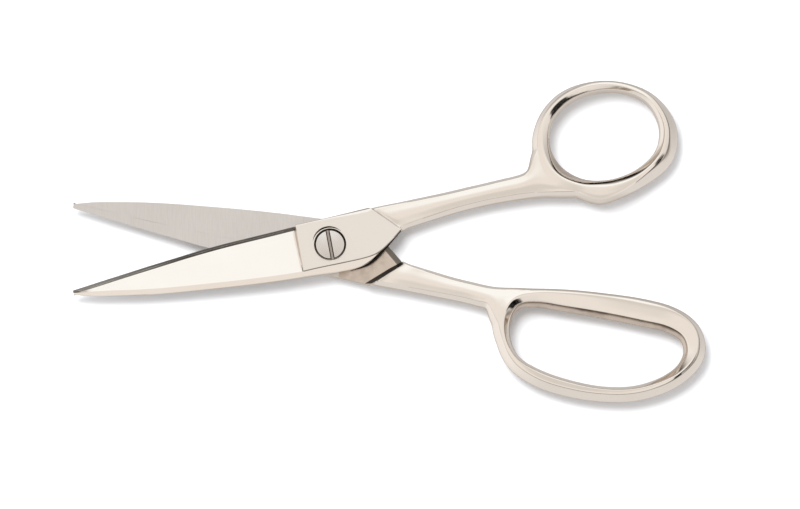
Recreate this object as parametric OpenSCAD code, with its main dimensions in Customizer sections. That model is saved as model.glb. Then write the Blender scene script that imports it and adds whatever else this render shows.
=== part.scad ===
// Forged two-bow shears: two crossed halves on a slotted pivot screw.
// Millimetres. The origin is on the pivot axis, on the surface that the shears lie on.
// +X runs from the blade tips to the finger bows, midway between the two halves, and +Z is up.
// Each half is drawn in a frame of its own: blade towards -X, cutting edge towards +Y,
// flat inner face on z = 0 and outer face towards +Z. The rear half is turned over.

/* [Halves] */
// Angle between the two halves as they lie, degrees
open_angle = 18.8; // [2:0.2:60]
// Height of the plane where the halves meet
shear_z = 5.2; // [5:0.05:5.2]
// Gap between the two flat inner faces
ride_gap = 0.06; // [0.02:0.01:0.1]

/* [Blades] */
// Blade length from the pivot to the tip
blade_len = 72.5; // [69:0.5:80]
// Thickness at the ridge, beside the heel
blade_thick = 3.3; // [2:0.1:3.4]
// Width of the ground bevel on the cutting edge
edge_bevel = 1.2; // [0.6:0.1:1.6]
// Thickness of the hard steel plate along the cutting edge
plate_thick = 0.5; // [0.3:0.05:0.6]
// Width of that plate at the heel
plate_width = 5.0; // [3:0.1:6]

/* [Tangs] */
// Thickness of each half where the screw goes through
tang_thick = 3.5; // [3:0.1:3.6]
// Where the outer face steps down to the blade
heel_x = -8.4; // [-10:0.1:-7]
// Depth of the round seats under the screw head and the washer
seat_depth = 0.3; // [0.1:0.05:0.5]

/* [Bows] */
// Half the depth of the bows, across the shear plane
bow_half_depth = 5.2; // [4.5:0.05:5.2]
// Steps between neighbouring points of a bow
bow_steps = 4; // [2:1:5]

/* [Pivot] */
// Radius of the screw's plain shoulder
shoulder_r = 2.5; // [2:0.05:3]
// Radius of the threaded end
thread_r = 2.4; // [1.9:0.05:2.5]
// Radius of the screw head
head_r = 4.2; // [3.5:0.1:4.6]
// Thickness of the screw head
head_thick = 1.5; // [1:0.1:1.8]
// Width of the screwdriver slot
slot_w = 1.0; // [0.6:0.1:1.4]
// Depth of the screwdriver slot
slot_depth = 0.75; // [0.4:0.05:1]
// Turn of the slot from the width direction, degrees
slot_turn = 10; // [-90:1:90]
// Nut width across its flats
nut_flats = 9; // [7:0.5:10]
// Nut thickness
nut_thick = 1.6; // [1.2:0.1:1.8]

/* [Hidden] */
$fn = 64;

turn_fit = 0.05;       // radial clearance of the front half on the shoulder
thread_fit = 0.02;     // radial clearance drawn at the thread
seat_clear = 0.2;      // radial clearance of the head in its seat
face_clear = 0.03;     // axial clearance under the head
washer_r = 4.9;
washer_seat_r = 5.1;
head_chamfer = 0.35;
past = 1;              // how far a cutting shape runs past what it cuts

// Heights in the half's own frame.
head_z = tang_thick - seat_depth + face_clear;
washer_z = seat_depth - tang_thick - ride_gap / 2;
washer_thick = shear_z - nut_thick + washer_z;

// Outline of blade and tang, as [x, y] along the half.
cutting_edge = [[-blade_len, 0.25], [-64.6, 1.4], [-58, 2.3], [-51, 3.3], [-43, 4.3],
                [-36, 5.2], [-28.7, 5.9], [-21.6, 6.4], [-14.4, 6.9], [heel_x, 7.35],
                [0, 7.8], [7, 8.25], [11.8, 8.6], [12.6, 7.9], [20.3, 1.4]];
spine = [[-blade_len, -0.9], [-68, -2.2], [-64, -2.85], [-58, -3.8], [-51.5, -4.7],
         [-43, -5.5], [-32, -6.3], [-24, -6.85], [-15.3, -7.25], [-3, -7.5], [1.3, -7.6],
         [7.5, -7.4], [9.9, -6.8], [11.7, -6.0], [13, -5.1], [14.2, -4.2], [20.3, 1.0]];

// Stations of the blade and of the tang.
blade_x = [-blade_len, -68, -64, -58, -51, -43, -36, -28.7, -21.6, -15, heel_x - 1, heel_x];
tang_x = [heel_x, -4, 0, 4, 7.5, 9.9, 11.7, 13, 14.2, 17, 20.3];

// Height of the ridge beside the spine and of the top of the ground bevel.
ridge_z = [[-72.5, 1.1], [-58, 1.8], [-36, 2.5], [-15, 0.98 * blade_thick],
           [heel_x, blade_thick]];
bevel_z = [[-72.5, 0.62], [-36, 0.8], [heel_x, 0.95]];
spine_bevel = 1.4;
tang_bevel = 1.5;
edge_land = 0.12;

// Where the shank steps down past the shear plane, from the upper edge to the lower.
step_a = [11.5, 7.8];
step_b = [19.8, 1.3];

// Shank stations: [x, lower y, upper y, half depth]. The last ones end inside the bow.
shank_start = [[12, 0, 8.2, 3.3], [16, 0.2, 8.6, 3.35], [20.6, 1.0, 8.85, 3.4],
               [28.5, 2.3, 9.25, 3.4], [36, 3.35, 9.65, 3.55]];
thumb_shank = concat(shank_start, [[44, 3.95, 10.1, 3.8], [51, 4.0, 10.5, 4.1],
               [57, 3.85, 10.85, 4.5], [62.5, 3.2, 10.4, 4.7], [69.5, 2.3, 6.2, 4.2]]);
finger_shank = concat(shank_start, [[42, 3.9, 10.1, 3.9], [46, 4.05, 10.8, 4.2],
               [51, 4.1, 9.6, 4.5], [56, 3.8, 7.4, 4.2]]);

// Bow points round the hole: [x, y, width of metal outside the point, share of the depth].
thumb_bow = [[95.9, 17.2, 4.9, 0.9], [93.7, 10.9, 5.6, 0.96], [87.9, 6.7, 5.0, 1],
             [81.5, 5.1, 5.6, 1], [77, 5.3, 6.5, 1], [72.2, 6.7, 5.5, 1],
             [67.3, 10.7, 5.4, 0.96], [65.1, 17, 5.0, 0.9], [66.9, 23.6, 4.2, 0.86],
             [72.2, 28.1, 4.0, 0.82], [79.9, 29.9, 3.4, 0.8], [87.6, 28.7, 3.0, 0.8],
             [93.7, 24.4, 3.4, 0.84]];
finger_bow = [[101.5, 14.3, 5.9, 0.92], [100.2, 11, 6.5, 0.97], [96.2, 9.2, 7.1, 1],
              [88.5, 8.6, 7.55, 1], [78, 8.1, 7.0, 1], [67, 7.9, 6.2, 1], [59, 7.9, 5.2, 1],
              [54.6, 9.1, 5.6, 0.98], [52.9, 12.6, 6.6, 0.95], [53.6, 18.2, 4.1, 0.88],
              [56.8, 22.6, 4.2, 0.84], [63, 25.2, 4.7, 0.82], [72, 26.8, 4.6, 0.82],
              [81, 27.1, 4.2, 0.82], [89, 25.7, 4.2, 0.82], [96, 22.3, 4.4, 0.84],
              [100.2, 18.3, 4.8, 0.88]];

// Cross-sections. Bow: [share of the width outwards, share of the depth], crest near the hole.
bow_section = [[0, -0.25], [0, 0.25], [0.1, 0.72], [0.34, 1], [0.6, 0.9], [0.95, 0.42],
               [1, 0], [0.95, -0.42], [0.6, -0.9], [0.34, -1], [0.1, -0.72]];
// Shank: [share of the width, share of the depth], flat in the middle with bevelled sides.
shank_section = [[0, -0.5], [0, 0.5], [0.12, 0.86], [0.32, 1], [0.68, 1], [0.86, 0.86],
                 [1, 0.5], [1, -0.5], [0.86, -0.86], [0.68, -1], [0.32, -1], [0.12, -0.86]];

// One closed solid through rings of points, with flat ends, or joined end to end as a loop.
module loft(rings, loop = false) {
    n = len(rings[0]);
    last = len(rings);
    spans = loop ? last : last - 1;
    at = function (i, j) (i % last) * n + j % n;
    sides = [for (i = [0 : spans - 1], j = [0 : n - 1])
             [at(i, j), at(i, j + 1), at(i + 1, j + 1), at(i + 1, j)]];
    ends = [[for (j = [n - 1 : -1 : 0]) at(0, j)], [for (j = [0 : n - 1]) at(last - 1, j)]];
    points = [for (ring = rings, p = ring) p];
    polyhedron(points, loop ? sides : concat(sides, ends), convexity = 6);
}

// Point at share t of the way from b to c on a smooth curve through a, b, c and d.
function curve(a, b, c, d, t) =
    let (ta = pow(norm([b.x - a.x, b.y - a.y]), 0.5), tb = pow(norm([c.x - b.x, c.y - b.y]), 0.5),
         tc = pow(norm([d.x - c.x, d.y - c.y]), 0.5),
         mb = ((b - a) / ta - (c - a) / (ta + tb) + (c - b) / tb) * tb,
         mc = ((c - b) / tb - (d - b) / (tb + tc) + (d - c) / tc) * tb)
    (2 * t * t * t - 3 * t * t + 1) * b + (t * t * t - 2 * t * t + t) * mb
    + (3 * t * t - 2 * t * t * t) * c + (t * t * t - t * t) * mc;

function closed_curve(points, steps) =
    let (n = len(points))
    [for (i = [0 : n - 1], k = [0 : steps - 1])
        curve(points[(i + n - 1) % n], points[i], points[(i + 1) % n], points[(i + 2) % n],
              k / steps)];

// The ring of metal round a hole. Its points run clockwise, so outwards is to the left.
module bow(points) {
    path = closed_curve(points, bow_steps);
    n = len(path);
    rings = [for (i = [0 : n - 1])
        let (along = path[(i + 1) % n] - path[(i + n - 1) % n],
             out = [-along.y, along.x] / norm([along.x, along.y]), p = path[i])
        [for (s = bow_section)
            [p.x + out.x * s[0] * p[2], p.y + out.y * s[0] * p[2],
             s[1] * min(p[3], 1) * bow_half_depth]]];
    loft(rings, loop = true);
}

module shank(stations) {
    loft([for (p = stations) [for (s = shank_section)
        [p.x, p.y + s[0] * (p[2] - p.y), s[1] * p[3]]]]);
}

// Everything of the shank and bow that would lie in the other half's way.
module lap_cut() {
    along = atan2(step_b.y - step_a.y, step_b.x - step_a.x);
    size = 60;
    translate([step_a.x, step_a.y, 0]) rotate(along)
        translate([-size / 2, -size, -size]) cube(size);
}

// Blade section: cutting edge, ground bevel, sloping outer face, ridge and spine.
function blade_section(x) =
    let (e = lookup(x, cutting_edge), s = lookup(x, spine), w = e - s,
         bevel = min(edge_bevel, 0.3 * w), back = min(spine_bevel, 0.3 * w))
    [[x, e, 0], [x, s, 0], [x, s, 0.45 * lookup(x, ridge_z)],
     [x, s + back, lookup(x, ridge_z)], [x, e - bevel, lookup(x, bevel_z)],
     [x, e, edge_land]];

// Tang section: flat outer face with bevelled long edges.
function tang_section(x) =
    let (e = lookup(x, cutting_edge), s = lookup(x, spine), w = e - s,
         bevel = min(tang_bevel, 0.3 * w))
    [[x, e, 0], [x, s, 0], [x, s, 0.55 * tang_thick], [x, s + bevel, tang_thick],
     [x, e - bevel, tang_thick], [x, e, 0.55 * tang_thick]];

module blade() { loft([for (x = blade_x) blade_section(x)]); }

module tang() { loft([for (x = tang_x) tang_section(x)]); }

// Space of the hard steel plate: a strip along the edge of the inner face.
module plate_zone() {
    heel_end = heel_x - 3.5;
    tip_width = 1.5;
    inner = [for (p = cutting_edge) if (p.x < heel_end)
        [p.x, p.y - tip_width - (plate_width - tip_width) * (p.x + blade_len)
              / (heel_end + blade_len)]];
    heel_y = lookup(heel_end, cutting_edge);
    outline = concat([[-blade_len - past, inner[0].y]], inner,
                     [[heel_end, heel_y - plate_width], [heel_end, heel_y + past],
                      [-blade_len - past, heel_y + past]]);
    translate([0, 0, -past]) linear_extrude(past + plate_thick) polygon(outline);
}

// One forged half without its screw hole.
module forging(stations, bow_points) {
    difference() {
        blade();
        plate_zone();
    }
    tang();
    difference() {
        union() {
            shank(stations);
            bow(bow_points);
        }
        lap_cut();
    }
}

module plate() {
    intersection() {
        blade();
        plate_zone();
    }
}

// Places a half as it lies: the front one as drawn, the rear one turned over.
module as_front() {
    translate([0, 0, shear_z + ride_gap / 2]) rotate(open_angle / 2) children();
}

module as_rear() {
    translate([0, 0, shear_z - ride_gap / 2]) rotate([180, 0, -open_angle / 2]) children();
}

module front_frame() {
    color([0.90, 0.87, 0.83]) as_front() difference() {
        forging(thumb_shank, thumb_bow);
        translate([0, 0, -past]) cylinder(r = shoulder_r + turn_fit, h = tang_thick + 2 * past);
        translate([0, 0, tang_thick - seat_depth]) cylinder(r = head_r + seat_clear, h = past);
    }
}

module front_plate() { color([0.80, 0.79, 0.78]) as_front() plate(); }

module rear_frame() {
    color([0.90, 0.87, 0.83]) as_rear() difference() {
        forging(finger_shank, finger_bow);
        translate([0, 0, -past]) cylinder(r = thread_r + thread_fit, h = tang_thick + 2 * past);
        translate([0, 0, tang_thick - seat_depth]) cylinder(r = washer_seat_r, h = past);
    }
}

module rear_plate() { color([0.80, 0.79, 0.78]) as_rear() plate(); }

// The screw is one turned piece: threaded end, plain shoulder and slotted head.
module pivot_screw() {
    top = head_z + head_thick;
    profile = [[0, -shear_z], [thread_r, -shear_z], [thread_r, -ride_gap / 2],
               [shoulder_r, -ride_gap / 2], [shoulder_r, head_z], [head_r, head_z],
               [head_r, top - head_chamfer], [head_r - head_chamfer, top], [0, top]];
    color([0.78, 0.76, 0.74]) translate([0, 0, shear_z]) difference() {
        rotate_extrude() polygon(profile);
        rotate(slot_turn) translate([-slot_w / 2, -head_r - past, top - slot_depth])
            cube([slot_w, 2 * (head_r + past), slot_depth + past]);
    }
}

module lock_washer() {
    color([0.72, 0.71, 0.70]) translate([0, 0, nut_thick]) difference() {
        cylinder(r = washer_r, h = washer_thick);
        translate([0, 0, -past]) cylinder(r = thread_r + 0.15, h = washer_thick + 2 * past);
    }
}

module pivot_nut() {
    color([0.78, 0.76, 0.74]) difference() {
        cylinder(r = nut_flats / 2 / cos(30), h = nut_thick, $fn = 6);
        translate([0, 0, -past]) cylinder(r = thread_r + thread_fit, h = nut_thick + 2 * past);
    }
}

front_frame();
front_plate();
rear_frame();
rear_plate();
pivot_screw();
lock_washer();
pivot_nut();
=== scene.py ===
# %% [markdown]
# # Forged shears on a slotted pivot screw
# Two forged and nickel plated halves cross on a slotted screw. Each half could be put
# together from a blade, a bar and a ring joined by booleans, but drop forged steel flows
# softly from one into the next, and a join would show. So each half is one closed skin:
# a coarse cage is drawn station by station and smoothed, and the screw hole is bored in
# it. The hard cutting plates, the screw, the washer and the nut are separate pieces.

# %% Load the frame
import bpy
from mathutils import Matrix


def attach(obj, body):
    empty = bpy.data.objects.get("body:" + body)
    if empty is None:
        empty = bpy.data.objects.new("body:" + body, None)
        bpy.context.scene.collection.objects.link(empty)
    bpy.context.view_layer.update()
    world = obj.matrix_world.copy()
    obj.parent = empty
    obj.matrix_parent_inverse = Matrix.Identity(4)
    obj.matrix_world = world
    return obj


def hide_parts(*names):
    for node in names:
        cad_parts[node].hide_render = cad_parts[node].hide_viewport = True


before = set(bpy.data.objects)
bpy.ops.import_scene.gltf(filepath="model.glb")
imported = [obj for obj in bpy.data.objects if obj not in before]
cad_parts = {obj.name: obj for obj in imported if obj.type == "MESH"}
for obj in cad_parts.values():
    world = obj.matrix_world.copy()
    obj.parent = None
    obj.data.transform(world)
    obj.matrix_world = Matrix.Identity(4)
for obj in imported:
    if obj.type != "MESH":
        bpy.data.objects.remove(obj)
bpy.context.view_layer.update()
print("CAD nodes:", sorted(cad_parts))

# %% [markdown]
# ## Sizes
# Every piece has to agree with the others on a handful of sizes, so they are named once
# here. Everything is drawn in millimetres and multiplied by MM where it becomes a mesh.
# Each half has a frame of its own: the blade points to -X, the cutting edge faces +Y,
# the lapped inner face is z = 0 and the polished outer face looks to +Z. The tables give
# the outline as pairs that are read in between, which is easier to adjust than a formula.

# %% Sizes
import math
from collections import namedtuple

import bmesh
import bpy
import numpy as np
from mathutils import Matrix, Vector

MM = 0.001
SHEAR_Z = 5.2          # height of the plane where the halves meet, above the table
RIDE_GAP = 0.06        # gap between the two lapped faces
OPEN_ANGLE = 18.8      # angle between the halves, degrees
TIP_X = -72.5          # the blade's tip
TANG_THICK = 3.5       # each half where the screw goes through
HALF_DEPTH = 5.2       # half the depth of the bows
EDGE_BEVEL = 1.2       # width of the ground bevel on the cutting edge
EDGE_LAND = 0.12       # flat left on the cutting edge
PLATE_THICK = 0.5      # the hard steel plate along the edge
PLATE_END = -11.9      # where that plate stops before the heel

CUTTING_EDGE = [(-72.5, .25), (-64.6, 1.4), (-58, 2.3), (-51, 3.3), (-43, 4.3), (-36, 5.2),
                (-28.7, 5.9), (-21.6, 6.4), (-14.4, 6.9), (-8.4, 7.35), (0, 7.8)]
SPINE = [(-72.5, -.9), (-68, -2.2), (-64, -2.85), (-58, -3.8), (-51.5, -4.7), (-43, -5.5),
         (-32, -6.3), (-24, -6.85), (-15.3, -7.25), (-3, -7.5), (1.3, -7.6)]
RIDGE_Z = [(-72.5, .80), (-66, 1.12), (-58, 1.6), (-36, 2.5), (-15, 3.2), (-8.4, 3.42)]
BEVEL_Z = [(-72.5, .62), (-36, .8), (-8.4, .95)]


def at(table, x):
    """Value of a table of (x, value) pairs at x."""
    return float(np.interp(x, [p[0] for p in table], [p[1] for p in table]))


print("blade", round(at(CUTTING_EDGE, -36) - at(SPINE, -36), 1), "mm wide half way along")

# %% [markdown]
# ## Where each half lies
# On real shears both halves come from the same kind of forging, and one is turned over
# before they are screwed together. The front half could be drawn lying at its own angle,
# but then every size would need trigonometry. It is simpler to draw both flat and pointing
# to -X, and to turn the finished mesh: the rear one half a turn about X first.

# %% Placing the halves
def place_front():
    return (Matrix.Translation((0, 0, (SHEAR_Z + RIDE_GAP / 2) * MM))
            @ Matrix.Rotation(math.radians(OPEN_ANGLE / 2), 4, "Z"))


def place_rear():
    return (Matrix.Translation((0, 0, (SHEAR_Z - RIDE_GAP / 2) * MM))
            @ Matrix.Rotation(math.radians(-OPEN_ANGLE / 2), 4, "Z")
            @ Matrix.Rotation(math.pi, 4, "X"))


print("the halves are", OPEN_ANGLE, "degrees apart and meet at", SHEAR_Z, "mm")

# %% [markdown]
# ## Shader maths
# Polished metal is never even: its colour, gloss and surface all vary a little. Such
# variation is made of numbers that shader nodes work out at each point. Wiring those nodes
# one by one hides the idea, so a small class lets a material write them as ordinary sums.

# %% Numbers from nodes
class Value:
    """A number coming out of a node. Arithmetic on it adds Math nodes."""

    def __init__(self, nodes, socket):
        self.nodes = nodes
        self.socket = socket

    def maths(self, operation, *items):
        made = self.nodes.node("ShaderNodeMath", {"operation": operation},
                               dict(enumerate(items)))
        return Value(self.nodes, made.outputs[0])

    def __add__(self, other):
        return self.maths("ADD", self, other)

    def __radd__(self, other):
        return self.maths("ADD", other, self)

    def __sub__(self, other):
        return self.maths("SUBTRACT", self, other)

    def __rsub__(self, other):
        return self.maths("SUBTRACT", other, self)

    def __mul__(self, other):
        return self.maths("MULTIPLY", self, other)

    def __rmul__(self, other):
        return self.maths("MULTIPLY", other, self)

    def __pow__(self, other):
        return self.maths("POWER", self, other)

    def __rpow__(self, other):
        return self.maths("POWER", other, self)

    def sine(self):
        return self.maths("SINE", self)

    def absolute(self):
        return self.maths("ABSOLUTE", self)

    def rise(self, low, high):
        """0 below low, 1 above high and a smooth slope between them."""
        made = self.nodes.node("ShaderNodeMapRange", {"interpolation_type": "SMOOTHSTEP"},
                               {"Value": self, "From Min": low, "From Max": high})
        return Value(self.nodes, made.outputs[0])


print("a value can be part of sums with +, -, * and **")

# %% [markdown]
# ## Adding nodes
# Blender adds a node with one call, sets its options with more, and links its sockets with
# others again. A long material written so is hard to read. One method does all three from
# the kind of node, its settings and its sockets. The settings come first, because they can
# change which sockets the node has.

# %% Node builder
class Nodes:
    """A node tree, and the few calls that fill it."""

    def __init__(self, tree):
        self.tree = tree

    def node(self, kind, settings=None, sockets=None):
        """Adds a node. A socket is named, or numbered where its name isn't its own."""
        made = self.tree.nodes.new(kind)
        for name, value in (settings or {}).items():
            setattr(made, name, value)
        for name, value in (sockets or {}).items():
            self.put(made.inputs[name], value)
        return made

    def put(self, socket, value):
        """Links a node's output to a socket, or sets the socket to a plain value."""
        if isinstance(value, Value):
            value = value.socket
        if hasattr(value, "links"):
            self.tree.links.new(value, socket)
        else:
            socket.default_value = value

    def separate(self, vector):
        made = self.node("ShaderNodeSeparateXYZ", sockets={"Vector": vector})
        return [Value(self, socket) for socket in made.outputs]

    def between(self, share, low, high):
        """Colour between low and high, each a plain colour or a node's output."""
        low, high = ((*c, 1) if isinstance(c, tuple) else c for c in (low, high))
        return self.node("ShaderNodeMix", {"data_type": "RGBA"},
                         {"Factor": share, 6: low, 7: high}).outputs[2]


print("a node tree starts empty and is filled by", Nodes.node.__name__ + "()")

# %% [markdown]
# ## A material
# Each metal finish is the Principled surface, with the same few kinds of detail in it. A
# value that is the same all over goes straight on the surface's own socket. What varies
# reads Object coordinates, because they stay fixed to the piece when it moves, and noise
# that is stretched along one axis gives the direction of the grinding or polishing.

# %% Material builder
class Shader(Nodes):
    """One material, named by its finish."""

    def __init__(self, name, **uniform):
        self.material = bpy.data.materials.new(name)
        self.material.use_nodes = True
        super().__init__(self.material.node_tree)
        self.surface = self.tree.nodes["Principled BSDF"]
        for socket, value in uniform.items():
            self.drive(socket.replace("_", " "), value)

    def drive(self, name, value):
        self.put(self.surface.inputs[name], value)

    def position(self, turn=(0, 0, 0), scale=(1, 1, 1)):
        """Object coordinates, turned and stretched."""
        place = self.node("ShaderNodeTexCoord").outputs["Object"]
        return self.node("ShaderNodeMapping", sockets={"Vector": place, "Rotation": turn,
                                                       "Scale": scale}).outputs[0]

    def noise(self, vector, scale, detail=2, roughness=0.5):
        made = self.node("ShaderNodeTexNoise", sockets={
            "Vector": vector, "Scale": scale, "Detail": detail, "Roughness": roughness})
        return Value(self, made.outputs[0])

    def bump(self, height, distance, strength):
        made = self.node("ShaderNodeBump", sockets={
            "Height": height, "Distance": distance, "Strength": strength})
        self.drive("Normal", made.outputs[0])


print("a noise scale of 420 gives a grain of", round(1000 / 420, 1), "mm")

# %% [markdown]
# ## Nickel
# The forgings are nickel plated, a warm, slightly brown silver. Outside it is polished on
# a wheel, which leaves clouds in the gloss and fine hairs across it. The tang is satin,
# with a close grain. Round the holes of the bows and under the tail of the tang the
# nickel is brown and uneven: partly plating that the wheel does not reach, partly painted
# shade, and round the finger bow it is painted darker towards the rims as shade. These
# could be painted masks on one material. Separate materials on separate faces keep each
# border as crisp as the edge it follows.

# %% Nickel finishes
def polished_nickel():
    s = Shader("polished_nickel", Metallic=1.0)
    place = s.position()
    cloud = s.noise(place, 90, 3)
    hairs = s.noise(s.position(turn=(0, 0, 0.8), scale=(1, 40, 1)), 420, 2, 0.6)
    scratches = hairs.rise(.60, .72)
    s.drive("Base Color", s.between(cloud, (.83, .765, .695), (.88, .825, .76)))
    s.drive("Roughness", cloud * 0.05 + scratches * 0.12 + 0.075)
    s.bump(s.noise(place, 260, 2), 0.00002, 0.25)
    return s.material


def satin_nickel():
    s = Shader("satin_nickel", Metallic=1.0)
    grain = s.noise(s.position(turn=(0, 0, 1.2), scale=(1, 14, 1)), 900, 2)
    s.drive("Base Color", s.between(grain, (.80, .745, .685), (.87, .82, .765)))
    s.drive("Roughness", grain * 0.12 + 0.30)
    s.bump(grain, 0.000012, 0.5)
    return s.material


def brown_shade_nickel(name, rim_shade_share):
    """Brown, uneven nickel with painted shade, painted darker towards the rim by the share given."""
    s = Shader(name, Metallic=1.0)
    height = (s.separate(s.position())[2] - SHEAR_Z * MM).absolute()
    blotch = s.noise(s.position(), 160, 3, 0.6)
    # painted shade: darker away from the shear plane, towards the rims of the holes
    rim = height.rise(0.0020, 0.0037)
    share = (rim * rim_shade_share + blotch.rise(.42, .66) * 0.35).rise(0, 1)
    s.drive("Base Color", s.between(share, (.64, .55, .47), (.19, .145, .11)))
    s.drive("Roughness", blotch * 0.2 + 0.18)
    s.bump(blotch, 0.00003, 0.5)
    return s.material


NICKEL = polished_nickel()
SATIN = satin_nickel()
# brown nickel with painted shade; the second kind has no painted shade at the rim
BROWN_RIM_SHADE = brown_shade_nickel("brown_shade_nickel", 0.65)
BROWN_SHADE = brown_shade_nickel("brown_shade_nickel_no_rim", 0.0)
print("nickel:", [m.name for m in bpy.data.materials])

# %% [markdown]
# ## Ground steel
# The faces that do the cutting are ground after plating, so they are bare steel. The
# lapped inner face shows the wheel's grain straight across the blade. The bevel along the
# edge is painted dark, and darkest half way along, as a painted reflection of an unlit
# part of the room.
# The grain could be painted by hand, but noise that is squeezed along the blade has no
# seams and never repeats.

# %% Ground finishes
def lapped_steel():
    s = Shader("lapped_steel", Metallic=1.0)
    grain = s.noise(s.position(scale=(22, 1, 1)), 260, 4, 0.7)
    cloud = s.noise(s.position(), 60, 2)
    s.drive("Base Color", s.between(grain * 0.75 + cloud * 0.25, (.54, .51, .485),
                                    (.80, .765, .735)))
    s.drive("Roughness", grain * 0.16 + 0.30)
    s.bump(grain, 0.00002, 0.6)
    return s.material


def bevel_steel():
    s = Shader("bevel_steel", Metallic=1.0)
    along = s.separate(s.position())[0]
    # painted reflection: dark all along, and darker half way along the blade
    middle = along.rise(-.068, -.038) * (1 - along.rise(-.036, -.008))
    grain = s.noise(s.position(scale=(18, 1, 1)), 800, 3, 0.6)
    share = (grain * 0.5 + 0.5) * (1 - middle * 0.75)
    s.drive("Base Color", s.between(share, (.06, .05, .042), (.30, .28, .245)))
    s.drive("Roughness", grain * 0.15 + 0.28)
    s.bump(grain, 0.00002, 0.6)
    return s.material


LAPPED = lapped_steel()
BEVEL = bevel_steel()
print("ground steel:", LAPPED.name, BEVEL.name)

# %% [markdown]
# ## Turned steel and painted shade
# The screw, washer and nut come off a lathe, so fine rings run round their axis: a sine
# of the distance from the pivot draws them. The floor of the slot has a duller and
# browner colour. Gaps, steps and the walls of cuts are painted nearly black as shade:
# real gaps turn dark by themselves, but only if they are deep, and these are shallow.

# %% Turned finishes and painted shade
def turned_steel():
    s = Shader("turned_steel", Metallic=1.0)
    x, y, _ = s.separate(s.position())
    radius = (x ** 2 + y ** 2) ** 0.5
    rings = (radius * 14000).sine() * 0.5 + 0.5
    cloud = s.noise(s.position(), 500, 2)
    s.drive("Base Color", s.between(rings * 0.5 + cloud * 0.5, (.64, .60, .56),
                                    (.78, .74, .70)))
    s.drive("Roughness", rings * 0.08 + 0.26)
    s.bump(rings, 0.00001, 0.35)
    return s.material


def slot_steel():
    s = Shader("slot_steel", Metallic=1.0)
    grain = s.noise(s.position(scale=(14, 1, 1)), 900, 2)
    s.drive("Base Color", s.between(grain, (.36, .31, .27), (.50, .44, .39)))
    s.drive("Roughness", grain * 0.15 + 0.35)
    s.bump(grain, 0.00001, 0.4)
    return s.material


# painted shade: nearly black, for gaps, steps and the walls of cuts
def gap_shade_steel():
    s = Shader("gap_shade_steel", Metallic=1.0)
    cloud = s.noise(s.position(), 400, 3)
    s.drive("Base Color", s.between(cloud, (.006, .005, .005), (.045, .036, .03)))
    s.drive("Roughness", cloud * 0.2 + 0.35)
    return s.material


TURNED = turned_steel()
GAP_SHADE = gap_shade_steel()
SLOT = slot_steel()
print("materials:", [m.name for m in bpy.data.materials])

# %% [markdown]
# ## Smooth closed curves
# The hole of a bow is one closed oval with no straight stretch. It could be a scaled
# circle or a Bezier curve with handles to tune. Here a curve runs through a few given
# points. It is the centripetal kind, which neither loops nor overshoots where the points
# are unevenly spaced.

# %% Curves
def curve(a, b, c, d, t):
    """Point at share t of the way from b to c on the smooth curve through a, b, c, d."""
    ta, tb, tc = (math.dist(p[:2], q[:2]) ** 0.5 for p, q in ((a, b), (b, c), (c, d)))
    mb = ((b - a) / ta - (c - a) / (ta + tb) + (c - b) / tb) * tb
    mc = ((c - b) / tb - (d - b) / (tb + tc) + (d - c) / tc) * tb
    return ((2 * t**3 - 3 * t**2 + 1) * b + (t**3 - 2 * t**2 + t) * mb
            + (3 * t**2 - 2 * t**3) * c + (t**3 - t**2) * mc)


def closed_curve(points, steps):
    """The points and steps - 1 more after each. Numbers past x and y are blended too."""
    p = [np.array(q, float) for q in points]
    n = len(p)
    return [curve(p[i - 1], p[i], p[(i + 1) % n], p[(i + 2) % n], k / steps)
            for i in range(n) for k in range(steps)]


square = closed_curve([(-1, -1), (1, -1), (1, 1), (-1, 1)], 2)
print("the curve bulges past a square's side by", round(abs(square[1][1]) - 1, 2))

# %% [markdown]
# ## Bow sections
# A bow is a ring of forged metal with a steep wall inside, a broad facet that a finger
# rests on, and a bevel outside. Its section changes all the way round, so sweeping
# one profile along a curve would not do. Instead each point of the table says where it is
# on the hole and how the metal outside it is shaped there:
#
# `x, y` on the hole, `width` of the metal, `deep` as a share of the half depth, then
# `lip` and `lip height`, the edge between the wall of the hole and the facet, `crest` the
# distance of the highest line from the hole, `bevel` the width of the outer bevel and
# `bevel height` where it starts.

# %% Bow sections
THUMB_BOW = [
    # x, y, width, deep, lip, lip_h, crest, bevel, bevel_h
    (95.9, 17.2, 4.9, .92, .30, .62, 1.3, 2.3, .89), (93.7, 10.9, 5.6, .96, .30, .66, 1.7, 2.5, .85),
    (87.9, 6.7, 5.0, 1, .35, .70, 2.0, 1.8, .95), (81.5, 5.1, 5.6, 1, .40, .74, 2.1, 1.0, .95),
    (77, 5.3, 6.5, 1, .50, .75, 2.1, 1.0, .96), (72.2, 6.7, 5.5, 1, 1.0, .78, 2.3, 1.0, .96),
    (67.3, 10.7, 6.2, .96, 1.5, .80, 2.7, 1.0, .96), (65.1, 17, 5.1, .90, .42, .73, 2.3, 1.4, .92),
    (66.9, 23.6, 4.2, .86, .35, .74, 2.2, 1.2, .90), (72.2, 28.1, 4.0, .82, .35, .74, 2.0, 1.2, .90),
    (79.9, 29.9, 3.4, .80, .30, .74, 1.7, 0.9, .92), (87.6, 28.7, 3.0, .80, .25, .70, 1.2, 0.9, .93),
    (93.7, 24.4, 3.4, .84, .25, .60, .95, 1.4, .94)]
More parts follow.
